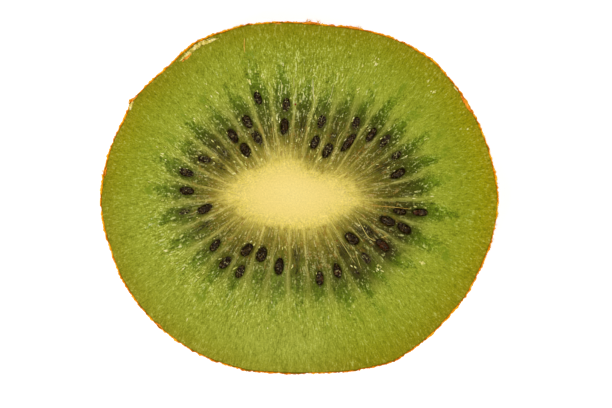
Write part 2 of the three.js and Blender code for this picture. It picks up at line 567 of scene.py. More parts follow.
def blend(share, first, second, how="MIX"):
    """Mixes two colours, each a wire or what it shows under the studio light, by a share."""
    mixed = [colour(*value) if isinstance(value, tuple) else value for value in (first, second)]
    return add(first.tree, "ShaderNodeMix", share, None, None, None, None, None, *mixed,
               data_type="RGBA", blend_type=how)[2]


def attribute(tree, name, output="Fac"):
    return add(tree, "ShaderNodeAttribute", attribute_name=name)[output]


def new_finish(name):
    """A material, its node tree and the wire of the place on the piece."""
    finish = bpy.data.materials.new(name)
    finish.use_nodes = True
    return finish, finish.node_tree, add(finish.node_tree, "ShaderNodeTexCoord")["Object"]


def dress(finish, **values):
    """Joins or sets the named inputs of a finish's shader, and gives the finish back."""
    shader = finish.node_tree.nodes["Principled BSDF"]
    for label, value in values.items():
        fill(shader.inputs[label.replace("_", " ")], value)
    return finish


def relief(height, strength, depth):
    """The normals of a fine relief, its depth in millimetres."""
    return add(height.tree, "ShaderNodeBump", strength, depth * mm, Height=height)


def weigh(base, *parts):
    """A base number plus each noise's distance from its middle times its weight."""
    total = base
    for noise, weight in parts:
        total = total + away(noise) * weight
    return total


def wet_flesh_finish():
    finish, tree, place = new_finish("wet_flesh")
    fan = attribute(tree, "fan", "Vector")
    reach, across, past_tip, glint, pale, wall, jelly, seed_shade = [
        attribute(tree, name)
        for name in ("reach", "across", "past_tip", "glint", "pale", "wall", "jelly", "seed_shade")]

    def along_fan(aside, out, detail=2.0, roughness=0.6):
        """Noise that follows the fan: how fine it is round the fan and out along it."""
        return speckle(scaled(fan, (aside, aside, out)), 1.0, detail, roughness)

    strand = along_fan(0.45, 0.9)
    thread = along_fan(0.62, 1.8)
    fibre = along_fan(1.1, 1.6, 3.0)
    cells = along_fan(1.3, 5.5)
    specks = along_fan(0.95, 7.5, 1.0, 0.5)
    hatch = along_fan(2.4, 9.0)
    grain = speckle(place, 5.0 / mm, 1.5, 0.6)
    patch = speckle(place, 0.25 / mm, 2.0)
    mottle = speckle(place, 1.4 / mm, 3.0, 0.65)
    blot = along_fan(0.3, 2.6, 1.5, 0.5)
    off_core = step(reach, -0.42, -0.12)
    strand, thread, fibre, cells, blot = [weigh(0.5, (noise, off_core))
                                          for noise in (strand, thread, fibre, cells, blot)]
    outer = step(reach, 0.05, 0.35)

    # The flesh between the chambers, from the cream core out to the deep green under the peel. It is
    # dull where the wall is thin and lies under the jelly.
    at_edge = step(reach, 0.25, 0.0) * step(reach, -0.5, -0.15)
    ragged = weigh(0.0, (mottle, 0.7), (thread, 0.55), (fibre, 0.3), (grain, 0.45)) * at_edge
    ripe = weigh(reach, (patch, 0.12)) + ragged
    between = ramp(ripe, [
        (-1.0, 252, 228, 141), (-0.5, 246, 220, 128), (-0.25, 236, 213, 114), (-0.1, 226, 203, 98),
        (0.0, 206, 187, 80), (0.08, 180, 164, 66), (0.18, 158, 146, 60), (0.3, 148, 145, 58),
        (0.42, 152, 157, 54), (0.55, 160, 169, 52), (0.66, 160, 168, 46), (0.76, 153, 161, 40),
        (0.86, 148, 152, 28), (1.0, 142, 133, 10)], -1.0, 1.0)
    dull = (1.0 - wall) * 0.62 * (step(reach, 0.02, 0.22) * step(reach, 0.6, 0.34))
    between = blend(dull, between, (52, 52, 14))
    between = blend(at_least(pale, 0.0), between, (166, 172, 62))
    deep = ramp(reach, [(0.6, 150, 161, 36), (0.8, 148, 152, 18), (0.9, 156, 152, 2), (1.0, 166, 146, 0)])
    between = blend(at_least(pale * -1.0, 0.0), between, deep)
    # The grain: dark and pale streaks along the fan, with more contrast where the cut catches the light.
    strong = 0.92 + glint * 0.5
    bright = weigh(-0.04, (cells, 0.5), (hatch, 1.2), (grain, 0.65), (specks, 0.5), (fibre, 0.35))
    lift = at_least(bright * 1.7, bright)
    lift = weigh(0.0, (blot, 0.3), (strand, 0.25), (mottle, 0.2)) + lift
    lift = lift * strong * step(reach, -0.12, 0.25)
    dim = at_least(lift * -1.8, 0.0)
    between = blend(at_most(dim, 0.8), between, (98, 107, 3))
    # Painted highlights: the grain's pale streaks blend towards a pale yellow green, most where the cut
    # catches the light.
    highlight_strength = 0.9 + glint * 1.6
    above = -0.1 + glint * 0.04 + lift
    painted_highlight = at_least(above * highlight_strength, 0.0)
    between = blend(at_most(painted_highlight, 0.9), between, (211, 217, 112))
    edge_grain = weigh(0.0, (grain, 0.9), (cells, 0.35), (mottle, 0.15)) * at_edge
    fine = weigh(1.0, (grain, 0.42), (hatch, 0.2), (mottle, 0.06)) + edge_grain
    between = blend(1.0, between, fine, "MULTIPLY")

    # The chambers' dark jelly, olive brown near the core and green towards the tip, full of fine cells.
    in_chamber = ramp(weigh(reach, (strand, 0.1), (mottle, 0.1)), [
        (-0.1, 190, 170, 66), (0.0, 166, 149, 52), (0.08, 142, 128, 40), (0.16, 114, 104, 28),
        (0.24, 88, 84, 18), (0.34, 72, 76, 12), (0.44, 72, 86, 10), (0.55, 88, 108, 12),
        (0.68, 116, 136, 20)], -1.0, 1.0)
    in_chamber = blend(step(past_tip, -0.2, 0.05), in_chamber, (106, 130, 16))
    pale_jelly = jelly * 0.6 * step(reach, 0.1, 0.3)
    in_chamber = blend(at_least(pale_jelly, 0.0), in_chamber, (120, 138, 42))
    murk = step(weigh(0.5, (blot, 1.2), (strand, 0.8), (mottle, 0.6)), 0.5, 0.68)
    murk = murk * 0.45 - at_most(jelly, 0.0)
    murk = murk * step(reach, 0.04, 0.2) * step(reach, 0.5, 0.36)
    in_chamber = blend(murk, in_chamber, (46, 40, 14))
    streaky = weigh(0.97, (thread, 1.8), (strand, 0.9), (mottle, 0.6), (grain, 1.3))
    speckled = weigh(1.0, (fibre, 1.0), (strand, 0.8), (cells, 0.8), (grain, 1.9), (specks, 1.3))
    texture = add(tree, "ShaderNodeMix", outer, None, streaky, speckled)
    in_chamber = blend(1.0, in_chamber, at_least(texture, 0.35), "MULTIPLY")
    # Painted highlights on the jelly: pale specks out in the chamber and pale streaks near the core.
    painted_shine = weigh(0.5, (specks, 1.0), (grain, 0.9), (cells, 0.4), (mottle, 0.3)) + glint * 0.05
    painted_shine = step(painted_shine, 0.63, 0.73) * 0.65
    painted_shine_near_core = step(weigh(0.5, (thread, 1.2), (grain, 0.9), (mottle, 0.3)), 0.66, 0.8)
    painted_shine = add(tree, "ShaderNodeMix", outer, None, painted_shine_near_core * 0.7, painted_shine)
    pale_fibre_and_highlight = ramp(reach, [(0.0, 226, 208, 128), (0.3, 192, 190, 120), (0.6, 180, 190, 94)])
    in_chamber = blend(painted_shine, in_chamber, pale_fibre_and_highlight)
    unsure = weigh(across, (fibre, 0.4), (strand, 0.45), (grain, 0.15), (mottle, 0.3))
    ragged_tip = weigh(past_tip, (cells, 0.12), (blot, 0.3), (grain, 0.08), (mottle, 0.2))
    ragged_base = weigh(reach, (mottle, 0.25), (thread, 0.1), (grain, 0.15))
    inside = chamber_share(unsure, ragged_tip, ragged_base)
    shade = blend(inside, between, in_chamber)

    # The pale walls between chambers: thin lines along their middles, here and there faint or broken.
    near_wall = weigh(across, (fibre, 0.25), (strand, 0.25))
    along_wall = step(reach, -0.14, 0.02) * step(reach, 0.62, 0.35)
    wall_share = step(near_wall, 0.78, 1.02) * along_wall
    unbroken = weigh(0.2, (thread, 1.2), (strand, 1.2), (blot, 1.0), (grain, 0.8)) + wall * 0.35
    wall_share = wall_share * at_most(at_least(unbroken, 0.0), 0.9)
    wall_colour = ramp(reach, [
        (0.0, 228, 208, 114), (0.12, 190, 176, 88), (0.35, 168, 166, 82), (0.6, 172, 180, 72)])
    shade = blend(wall_share, shade, wall_colour)

    # Fine fibres that run out from the core between the seeds, some pale, their paleness partly a painted
    # highlight in patches, some rusty and dark.
    near_root = step(reach, -0.12, 0.0) * step(reach, 0.42, 0.18)
    root_pale = along_fan(0.36, 1.0, 2.0, 0.5)
    root_dark = along_fan(0.43, 1.4, 2.0, 0.5)
    thin_pale = step(maths("ABSOLUTE", away(root_pale)), 0.04, 0.0)
    thin_dark = step(maths("ABSOLUTE", away(root_dark)), 0.045, 0.0)
    fibre_highlight_patch = step(weigh(0.5, (blot, 1.0), (mottle, 0.8), (grain, 1.0)), 0.42, 0.62)
    thin_pale = thin_pale * fibre_highlight_patch * 0.8
    thin_dark = thin_dark * (1.0 - fibre_highlight_patch) * 0.5
    stain = weigh(0.5, (mottle, 1.2), (thread, 0.6))
    rust = step(stain, 0.58, 0.7) * 0.5
    moss = step(stain, 0.44, 0.3) * 0.35
    for share, tint in ((thin_dark, (96, 80, 22)), (thin_pale, pale_fibre_and_highlight), (rust, (146, 98, 22)),
                        (moss, (92, 106, 14))):
        shade = blend(share * near_root, shade, tint)

    # Green flecks past the chambers' tips.
    past = step(past_tip, -0.02, 0.06) * step(past_tip, 0.2, 0.08)
    mid_chamber = step(across, 0.85, 0.3)
    fleck = step(weigh(0.5, (blot, 1.0), (cells, 0.6), (strand, 0.3)), 0.53, 0.64)
    shade = blend(past * mid_chamber * fleck * 0.7, shade, (108, 132, 14))

    # Seeds that lie just under the surface show as dark smudges through the jelly, and a painted shade
    # darkens the flesh round every seed.
    sunk = step(weigh(seed_shade, (grain, 1.6), (specks, 1.6), (cells, 0.8)), 0.15, 1.0)
    shade = blend(sunk * step(seed_shade, 0.0, 0.35), shade, (38, 30, 12))

    # Wet cells that catch the light, as painted glints mostly in short streaks along the fan, with glossy
    # bumps.
    painted_glint = weigh(0.5, (fibre, 0.8), (cells, 0.9), (grain, 0.5), (specks, 0.6)) + glint * 0.14
    painted_glint = off_core * 0.75 * step(painted_glint, 0.78, 0.87) * step(reach, 0.85, 0.62)
    shade = blend(painted_glint, shade, (214, 214, 142))
    smoothness = step(specks, 0.5, 0.65) * 0.36
    wetness = 0.4 + inside * 0.7 + glint
    bumps = weigh(0.0, (cells, 0.8), (grain, 0.5), (fibre, 0.6), (specks, 0.5)) * wetness
    return dress(finish, Base_Color=shade, Roughness=0.5 - smoothness, Normal=relief(bumps, 1.0, 0.12),
                 IOR=1.36, Specular_IOR_Level=0.3, Specular_Tint=(1.0, 0.92, 0.2, 1.0),
                 Subsurface_Weight=0.1, Subsurface_Radius=(1.0, 1.1, 0.4), Subsurface_Scale=0.8 * mm)


flesh = wet_flesh_mesh()
run_tree(flesh, cut_relief, core_rise=core_rise, chamber_sink=0.12, grain_height=0.07, streak_height=0.12,
         surface=wet_flesh_finish())
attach(flesh, "root")
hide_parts("kiwi_slice")


# ------------------------------------------------------------
# Peel. A thin, dry, brown skin that grows on the flesh all the way round the side, rough and leathery
# outside. The knife leaves its cut edge as a fine, ragged, orange line that stands a little proud; its
# vivid orange is partly the peel's own colour and partly a painted glow of light through the thin peel.

peel_lip = 0.04


def peel_mesh():
    """Inside edge of the cut, over the rough outside, to the inside edge underneath."""
    columns = 1080
    bearing = np.linspace(0, 2 * math.pi, columns, endpoint=False)[None, :]
    top = thickness - rim_drop
    # The skin's outline in section, from the upper cut's inside edge, out and down the side, to the
    # lower cut's: its levels, how far in from the fruit's outline, and how much of it is cut edge.
    level = [top - 0.06, top + peel_lip * 0.5, top + peel_lip, top + peel_lip * 0.3, top - 0.1, top - 0.2]
    inset = [peel_thickness + 0.08, peel_thickness + 0.02, 0.09, 0.0, -0.03, 0.02]
    cut = [1, 1, 1, 1, 1, 0.4]
    side = [top - 0.32] + np.linspace(top - 0.6, 0.5, 11).tolist() + [0.28]
    level += side + [0.12, 0.03, 0.0, 0.05]
    inset += [0.06] + [0.08] * (len(side) - 2) + [0.05, 0.02, 0.03, 0.14, peel_thickness + 0.08]
    cut += [0.0] * len(side) + [0.4, 1, 1, 1]
    bearing, level, inset = np.broadcast_arrays(bearing, np.array(level)[:, None], np.array(inset)[:, None])
    x, y = fan_place(bearing, 1 + 0 * level, level, inset)
    points = np.stack([x, y, level], -1).reshape(-1, 3)
    faces = (ring_faces(len(level) + 1, columns) % len(points)).tolist()
    rind = inset - 0.03 + 0.05 * np.sin(bearing) ** 2 + 0.03 * np.maximum(-np.sin(bearing), 0)
    return make_piece("peel", points, faces, cut=np.repeat(cut, columns), inset=inset.ravel(),
                      rind=rind.ravel())


def outward(position):
    """The level way out from the middle of the slice."""
    level_place = scaled(position, (1.0, 1.0, 0.0))
    return add(position.tree, "ShaderNodeVectorMath", level_place, operation="NORMALIZE")


def rough_peel(tree, start):
    """Pushes the peel in and out sideways: broad dents, leathery lumps and a ragged cut edge."""
    position = placed_at(tree)
    place = scaled(position, 1 / mm)
    free = step(named(tree, "inset"), peel_thickness, 0.02)
    dent = away(speckle(place, 0.3)) * start["dent"]
    lump = away(speckle(place, 1.6, 3.0)) * start["lump"]
    rag = away(speckle(place, 2.6)) * start["rag"] * (named(tree, "cut") + 0.1)
    push = (dent + lump + rag) * free * mm
    return moved(start, scaled(outward(position), push))


def peel_finish():
    finish, tree, place = new_finish("dry_peel")
    mottle = speckle(place, 0.8 / mm, 4.0, 0.6)
    leather = speckle(place, 4.0 / mm, 3.0, 0.6)
    outside = ramp(weigh(mottle, (leather, 0.5)), [
        (0.3, 112, 70, 26), (0.5, 148, 98, 42), (0.7, 176, 126, 64)])
    # The cut edge's vivid orange is partly a painted glow of light shining through the thin peel.
    edge = ramp(weigh(attribute(tree, "rind"), (mottle, 0.5), (leather, 0.25)), [
        (-0.04, 255, 206, 50), (0.03, 255, 182, 14), (0.1, 252, 150, 0), (0.15, 220, 108, 0),
        (0.19, 156, 88, 2), (0.24, 118, 104, 6)], -0.1, 0.3)
    shade = blend(attribute(tree, "cut"), outside, edge)
    return dress(finish, Base_Color=shade, Roughness=0.75, Normal=relief(leather, 0.6, 0.08),
                 Specular_IOR_Level=0.06, Specular_Tint=(1.0, 0.7, 0.3, 1.0))


peel = peel_mesh()
run_tree(peel, rough_peel, dent=0.25, lump=0.3, rag=0.55, surface=peel_finish())
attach(peel, "root")
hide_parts("kiwi_slice")


# ------------------------------------------------------------
# Torn bits. Where the knife dragged, thin slivers of the peel and of the pale flesh that clings to it
# lie folded over the rim of the cut.

# Each sliver: its bearings, how far in from the outline its two long edges lie, how high it stands,
# and how orange it is (0 is pale flesh).
slivers = [
    (116.5, 131.5, 0.35, 1.0, 0.07, 0.0), (119, 125, 0.25, 0.5, 0.1, 0.2),
    (126.5, 131, 0.8, 1.15, 0.06, 0.7), (149.8, 152.8, 0.05, 0.6, 0.14, 0.0),
    (147.5, 150.6, 0.05, 0.35, 0.12, 1.0), (26, 32.5, 0.0, 0.5, 0.09, 0.9),
    (33.5, 36.5, 0.15, 0.38, 0.06, 0.3), (95.5, 98, 0.2, 0.4, 0.05, 0.6),
    (171, 174, 0.15, 0.4, 0.06, 0.9), (221, 224, 0.1, 0.35, 0.06, 0.8), (83, 88.5, -0.2, 0.1, 0.12, 1.0),
    (70, 75.5, -0.2, 0.12, 0.12, 1.0), (78, 80, -0.1, 0.1, 0.1, 1.0)]


def circle(around):
    """The cosine and sine of so many even turns that go once round."""
    turns = [2 * math.pi * number / around for number in range(around)]
    return [(math.cos(turn), math.sin(turn)) for turn in turns]


def slivers_mesh():
    """Thin bands along the rim, pointed at both ends, with ragged long edges and a low hump between."""
    draw = random.Random(9)
    points, faces, orange_share = [], [], []
    around = 8
    fewest_stations, stations_per_degree = 8, 3
    for start, end, outer, inner, rise, orange in slivers:
        stations = max(fewest_stations, round((end - start) * stations_per_degree))
        faces += tube_faces(stations + 1, around, len(points))
        for station in range(stations + 1):
            along = station / stations
            width = math.sin(math.pi * along) ** 0.6 * draw.uniform(0.75, 1.0)
            bearing = np.array([math.radians(start + (end - start) * along)])
            middle = (outer + inner) / 2 + draw.uniform(-0.04, 0.04)
            half = max((inner - outer) / 2 * width, 0.01)
            for aside, up in circle(around):
                height = rise * width * up
                level = thickness - 0.02 + (height if height > 0 else 0.3 * height)
                inset = np.array([middle - half * aside])
                x, y = fan_place(bearing, np.array([1.0]), np.array([level]), inset)
                points.append([x[0], y[0], level])
                orange_share.append(min(1, max(0, orange + 0.3 * aside * (orange > 0))))
    return make_piece("torn_bits", points, faces, orange=orange_share)


def torn_finish():
    finish, tree, place = new_finish("torn_peel")
    mottle = speckle(place, 1.8 / mm, 3.0, 0.6)
    grain = speckle(place, 5.0 / mm, 2.0, 0.6)
    pale = ramp(weigh(mottle, (grain, 0.6)), [
        (0.32, 130, 116, 20), (0.44, 206, 184, 66), (0.54, 240, 218, 110), (0.66, 255, 242, 184)])
    # The torn peel's vivid orange is partly a painted glow of light shining through it.
    skin = ramp(weigh(mottle, (grain, 0.6)), [
        (0.3, 206, 92, 0), (0.5, 255, 150, 20), (0.7, 255, 176, 56)])
    share = step(weigh(attribute(tree, "orange"), (mottle, 1.0)), 0.35, 0.65)
    return dress(finish, Base_Color=blend(share, pale, skin), Roughness=0.5, Normal=relief(grain, 0.7, 0.08),
                 Specular_IOR_Level=0.15, Specular_Tint=(1.0, 0.9, 0.5, 1.0))


torn_bits = slivers_mesh()
torn_bits.data.materials.append(torn_finish())
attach(torn_bits, "root")


# ------------------------------------------------------------
# Fuzz. Short, stiff, orange brown hairs that grow out of the peel. Most lie flat against it; a few
# tufts stand up over the rim.

hair_length = 0.6
hair_radius = 0.028
hair_bend = 0.18 * hair_length
lowest_hair = 0.02
highest_hair = 0.32
tuft_crowding = 16.0
# Where hairs stand up over the rim: bearing, width in degrees and strength.
tufts = [
    (87.3, 0.9, 1.2), (84.2, 0.7, 1.2), (73.5, 0.8, 0.7), (71, 1.0, 1.1), (80, 0.6, 0.2), (4, 0.6, 0.4),
    (172.5, 1.0, 0.5), (354.5, 0.6, 0.5), (347.5, 0.6, 0.5), (331, 0.6, 0.6), (278, 0.6, 0.6),
    (151, 0.6, 0.6), (111, 0.6, 0.4), (123, 0.6, 0.4), (62, 0.5, 0.4), (190, 0.5, 0.4)]


def hair_mesh():
    """One hair along +Z: three sides, bent a little, tapering to a point."""
    rings, sides = 4, 3
    points = []
    for ring in range(rings):
        along = ring / rings
        bend = hair_bend * along ** 2
        girth = hair_radius * (1 - 0.7 * along)
        points += [[bend + girth * across, girth * aside, hair_length * along]
                   for across, aside in circle(sides)]
    points.append([hair_bend, 0, hair_length])
    return make_piece("one_hair", points, tube_faces(rings, sides, after=len(points) - 1, turn_over=True))


def strewn(tree, start, density, turned, size):
    """Copies of a body strewn over a mesh and made real. A density of 1 is the full amount."""
    density = density * (start["per_mm2"] / (mm * mm))
    spots = add(tree, "GeometryNodeDistributePointsOnFaces", start, Density=density, Seed=start["seed"])
    body = add(tree, "GeometryNodeObjectInfo", start["body"])["Geometry"]
    placed = add(tree, "GeometryNodeInstanceOnPoints", spots, True, body, False, 0, turned, size)
    return add(tree, "GeometryNodeRealizeInstances", placed)


def fuzz_hairs(tree, start):
    """Hairs over the peel, most of them leaning flat and the tufts standing up."""
    tuft = named(tree, "tuft")
    density = step(named(tree, "cut"), 0.5, 0.0) + tuft * tuft_crowding
    stray = add(tree, "FunctionNodeRandomValue", (-1.0, -1.0, -1.0), (1.0, 1.0, 1.0), Seed=start["seed"],
                data_type="FLOAT_VECTOR")
    out = scaled(outward(placed_at(tree)), tuft * 1.3 + 0.12)
    aim = add(tree, "ShaderNodeVectorMath", out, scaled(stray, start["spread"]))
    turned = add(tree, "FunctionNodeAlignRotationToVector", None, None, aim, axis="Z")
    long = add(tree, "FunctionNodeRandomValue", None, None, 0.5, 1.1, data_type="FLOAT")[1]
    hairs = strewn(tree, start, density, turned, (tuft * 0.7 + 0.8) * long)
    apart = add(tree, "ShaderNodeSeparateXYZ", placed_at(tree))
    level = at_least(at_most(apart[2], (thickness + highest_hair) * mm), lowest_hair * mm)
    within = add(tree, "ShaderNodeCombineXYZ", apart[0], apart[1], level)
    return add(tree, "GeometryNodeSetPosition", hairs, True, within)


def fuzz_finish():
    finish, tree, place = new_finish("peel_fuzz")
    tone = speckle(place, 1.2 / mm, 2.0)
    flat = ramp(tone, [(0.3, 128, 84, 34), (0.5, 178, 126, 62), (0.7, 214, 166, 98)])
    # The standing tufts are the same hair painted bright orange: a painted glow of light through them.
    bright = ramp(tone, [(0.3, 255, 140, 0), (0.5, 255, 184, 10), (0.7, 255, 216, 60)])
    shade = blend(step(attribute(tree, "tuft"), 0.02, 0.3), flat, bright)
    return dress(finish, Base_Color=shade, Roughness=0.6, Specular_IOR_Level=0.08,
                 Specular_Tint=(1.0, 0.7, 0.3, 1.0))


one_hair = hair_mesh()
fuzz = link_piece("fuzz", peel.data.copy())
root_bearing = np.array([math.atan2(point.co.y, point.co.x) for point in fuzz.data.vertices])
root_level = np.array([point.co.z / mm for point in fuzz.data.vertices])
near_top = smooth_step(thickness - 0.7, thickness - 0.2, root_level)
give_attribute(fuzz, "tuft", swells(root_bearing, tufts) * near_top)
run_tree(fuzz, fuzz_hairs, body=one_hair, per_mm2=2.2, spread=0.9, seed=5, surface=fuzz_finish())
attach(fuzz, "root")
bpy.data.objects.remove(one_hair)


# ------------------------------------------------------------
# Seeds. Hard, dark brown drops about two millimetres long, finely pitted and wet, each lying along
# its chamber with its narrow end to the core. The knife leaves them whole, more or less sunk.

def seed_body_mesh():
    """One seed, its narrow end to -X."""
    around, rings = 28, 18
    points = [[-seed_length / 2, 0, 0]]
    for ring in range(1, rings):
        turn = math.pi * ring / rings
        along = -math.cos(turn)
        girth = math.sin(turn) ** 0.85 * (0.92 + 0.14 * along)
        for across, up in circle(around):
            across *= girth * seed_width / 2
            points.append([along * seed_length / 2, across, girth * seed_thickness / 2 * up])
    points.append([seed_length / 2, 0, 0])
    faces = tube_faces(rings - 1, around, 1, 0, len(points) - 1)
    return make_piece("seed_body", points, [face[::-1] for face in faces])


def seed_finish():
    finish, tree, place = new_finish("seed_coat")
    pits = add(tree, "ShaderNodeTexVoronoi", place, Scale=3.6 / mm)["Distance"]
    grain = speckle(place, 6.0 / mm, 2.0, 0.6)
    mottle = speckle(place, 1.2 / mm, 2.0)
    shade = ramp(weigh(pits, (grain, 1.4)), [
        (0.0, 14, 4, 0), (0.35, 24, 11, 0), (0.6, 38, 24, 3), (0.8, 60, 44, 16), (1.0, 100, 80, 40)])
    red = step(weigh(attribute(tree, "red"), (mottle, 3.0), (grain, 1.0)), 0.5, 1.1)
    shade = blend(red * 0.5, shade, (92, 34, 10))
    pulp = speckle(place, 3.0 / mm, 2.0, 0.6)
    veil = step(weigh(attribute(tree, "sunk"), (pulp, 2.2), (grain, 1.2), (mottle, 1.2)), 0.4, 0.9)
    jelly = ramp(weigh(pulp, (grain, 0.6)), [
        (0.35, 50, 44, 16), (0.5, 70, 65, 26), (0.64, 112, 106, 56), (0.8, 196, 188, 124)])
    shade = blend(veil * 0.85, shade, jelly)
    return dress(finish, Base_Color=shade, Roughness=0.25, Normal=relief(pits, 1.0, 0.12),
                 Specular_IOR_Level=0.14, Specular_Tint=(1.0, 0.82, 0.6, 1.0))


def seeds_on_seats(tree, start):
    """A seed on every seat, turned and sized, made real, then pitted."""
    body = add(tree, "GeometryNodeObjectInfo", start["body"])["Geometry"]
    turned = add(tree, "FunctionNodeEulerToRotation", named(tree, "turned", "FLOAT_VECTOR"))
    size = named(tree, "size", "FLOAT_VECTOR")
    placed = add(tree, "GeometryNodeInstanceOnPoints", start, True, body, False, 0, turned, size)
    real = add(tree, "GeometryNodeRealizeInstances", placed)
    place = placed_at(tree)
    pits = add(tree, "ShaderNodeTexVoronoi", place, Scale=4.5 / mm)["Distance"]
    depth = (pits - 0.4) * start["pit_depth"] + away(speckle(place, 0.8 / mm, 1.0)) * start["lump_height"]
    offset = scaled(add(tree, "GeometryNodeInputNormal"), depth)
    return moved(real, offset)


seed_body = seed_body_mesh()
seed_coat = seed_finish()
upper_seed_level = thickness - 0.14
lower_seed_level = 0.44
for name, seeds, first_level, way in (("upper_seeds", upper_seeds, upper_seed_level, -1),
                                      ("lower_seeds", lower_seeds, lower_seed_level, 1)):
    points, fields = [], {"sunk": [], "turned": [], "size": [], "red": []}
    for x, y, turn, depth, long, wide, red in seeds:
        points.append([x, y, first_level + way * by_depth(depth, 0.0, 0.16, 0.28)])
        fields["sunk"].append(by_depth(depth, 0.05, 0.32, 0.7))
        fields["turned"].append([seed_draw.uniform(-0.2, 0.2), seed_draw.uniform(-0.08, 0.08), turn])
        fields["size"].append([long, wide, wide])
        fields["red"].append(red)
    piece = make_piece(name, points, [], **fields)
    run_tree(piece, seeds_on_seats, body=seed_body, pit_depth=0.05 * mm, lump_height=0.3 * mm,
             surface=seed_coat)
    piece.data.shade_smooth()
    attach(piece, "root")
bpy.data.objects.remove(seed_body)


# ------------------------------------------------------------
# Threads. Fine pale stalks that held the seeds and have come loose, a peel hair and two crumbs of
# peel, all lying on the wet cut.

# Each thread: the points it passes through as bearing and reach, its radius at the middle, and how
# orange it is (less than 0 for a white, wet one).
threads = [
    ([(347, 0.05), (349.8, 0.17), (351.4, 0.28), (351.9, 0.37)], 0.03, 0.6),
    ([(329, 0.02), (326, 0.08), (323.2, 0.15), (321.5, 0.2), (322.5, 0.245), (324.5, 0.27)], 0.045, 0.1),
    ([(327, 0.27), (331.5, 0.30)], 0.04, 0.2),
    ([(303, 0.02), (303.5, 0.1), (304.2, 0.2), (304.6, 0.3)], 0.035, 0.0),
    ([(309.5, 0.2), (307, 0.3), (306, 0.36)], 0.03, 0.0),
    ([(108.4, 0.912), (109.1, 0.86), (109.5, 0.812)], 0.07, 0.7),
    ([(90.2, 0.395), (90.0, 0.41)], 0.13, 1.0),
    ([(302.0, 0.11), (300.6, 0.12)], 0.07, 1.0),
    ([(104.5, 0.05), (103.6, 0.16), (103.4, 0.3)], 0.04, 0.0),
    ([(60.5, 0.14), (61.5, 0.2), (60.8, 0.26)], 0.04, 0.0),
    ([(83, 0.6), (82.3, 0.54), (81.5, 0.47), (80.2, 0.42)], 0.06, -0.5),
    ([(96.8, 0.57), (96.7, 0.48)], 0.045, -0.4),
    ([(73.5, 0.59), (73.2, 0.49), (74.2, 0.41)], 0.035, -0.2),
    ([(91.3, 0.6), (91, 0.52)], 0.04, -0.2),
    ([(109, 0.53), (107.8, 0.41)], 0.035, 0.0),
]
cut_surface = BVHTree.FromObject(flesh, bpy.context.evaluated_depsgraph_get())


def level_of_cut(x, y):
    """Height in millimetres of the wet flesh under a place."""
    hit = cut_surface.ray_cast(Vector((x * mm, y * mm, 2 * thickness * mm)), Vector((0, 0, -1)))[0]
    return hit.z / mm


def threads_mesh():
    """Thin tapering tubes laid on the cut, closed at both ends."""
    around = 6
    stations = 16
    points, faces, orange_share = [], [], []
    for route, radius, orange in threads:
        faces += tube_faces(stations + 1, around, len(points), turn_over=True)
        share = np.linspace(0, 1, stations + 1)
        knots = np.linspace(0, 1, len(route))
        bearing = np.radians(np.interp(share, knots, [at for at, _ in route]))
        reach = np.interp(share, knots, [out for _, out in route])
        x, y = fan_place(bearing, reach, np.full(stations + 1, thickness))
        for ease in range(2):
            x[1:-1] = (x[:-2] + 2 * x[1:-1] + x[2:]) / 4
            y[1:-1] = (y[:-2] + 2 * y[1:-1] + y[2:]) / 4
        heading = np.arctan2(np.gradient(y), np.gradient(x))
        girth = radius * (0.35 + 0.65 * np.sin(math.pi * share) ** 0.7)
        level = np.array([level_of_cut(*place) for place in zip(x, y)]) + 0.5 * girth
        level[1:-1] = np.maximum(level[1:-1], (level[:-2] + level[2:]) / 2)
        for at_x, at_y, at_level, way, thick in zip(x, y, level, heading, girth):
            for aside, up in circle(around):
                points.append([at_x - thick * aside * math.sin(way), at_y + thick * aside * math.cos(way),
                               at_level + thick * up])
                orange_share.append(orange)
    return make_piece("threads", points, faces, orange=orange_share)


def thread_finish():
    finish, tree, place = new_finish("seed_stalk")
    tone = speckle(place, 2.0 / mm, 2.0)
    pale = ramp(tone, [(0.3, 190, 180, 80), (0.7, 236, 220, 126)])
    orange = ramp(tone, [(0.3, 232, 160, 26), (0.7, 255, 196, 60)])
    red = ramp(tone, [(0.3, 92, 20, 0), (0.7, 160, 52, 4)])
    white = ramp(tone, [(0.3, 222, 222, 150), (0.7, 250, 250, 214)])
    share = attribute(tree, "orange")
    shade = blend(at_least(share, 0.0), pale, orange)
    shade = blend(step(share, 0.8, 1.0), shade, red)
    shade = blend(at_least(share * -1.0, 0.0), shade, white)
    return dress(finish, Base_Color=shade, Roughness=0.4, Specular_IOR_Level=0.15,
                 Specular_Tint=(1.0, 0.8, 0.5, 1.0))


stalks = threads_mesh()
stalks.data.materials.append(thread_finish())
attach(stalks, "root")


# ------------------------------------------------------------
# Juice. Drops and short beads of clear juice that the cut cells have let out, their pale colour a painted
# highlight. They stand on the wet cut, mostly round the tips of the chambers, and lie along the fibres.

bead_length = 0.32
bead_width = 0.13
bead_height = 0.06


def bead_mesh():
    """A low, long dome, its base a little under the surface it stands on."""
    around = 10
    points = [[girth * bead_length / 2 * across, girth * bead_width / 2 * aside, level * bead_height]
              for level, girth in ((-0.4, 1.0), (0.35, 0.92), (0.85, 0.55))
              for across, aside in circle(around)]
    points.append([0, 0, bead_height])
    return make_piece("one_bead", points, tube_faces(3, around, after=len(points) - 1, turn_over=True))
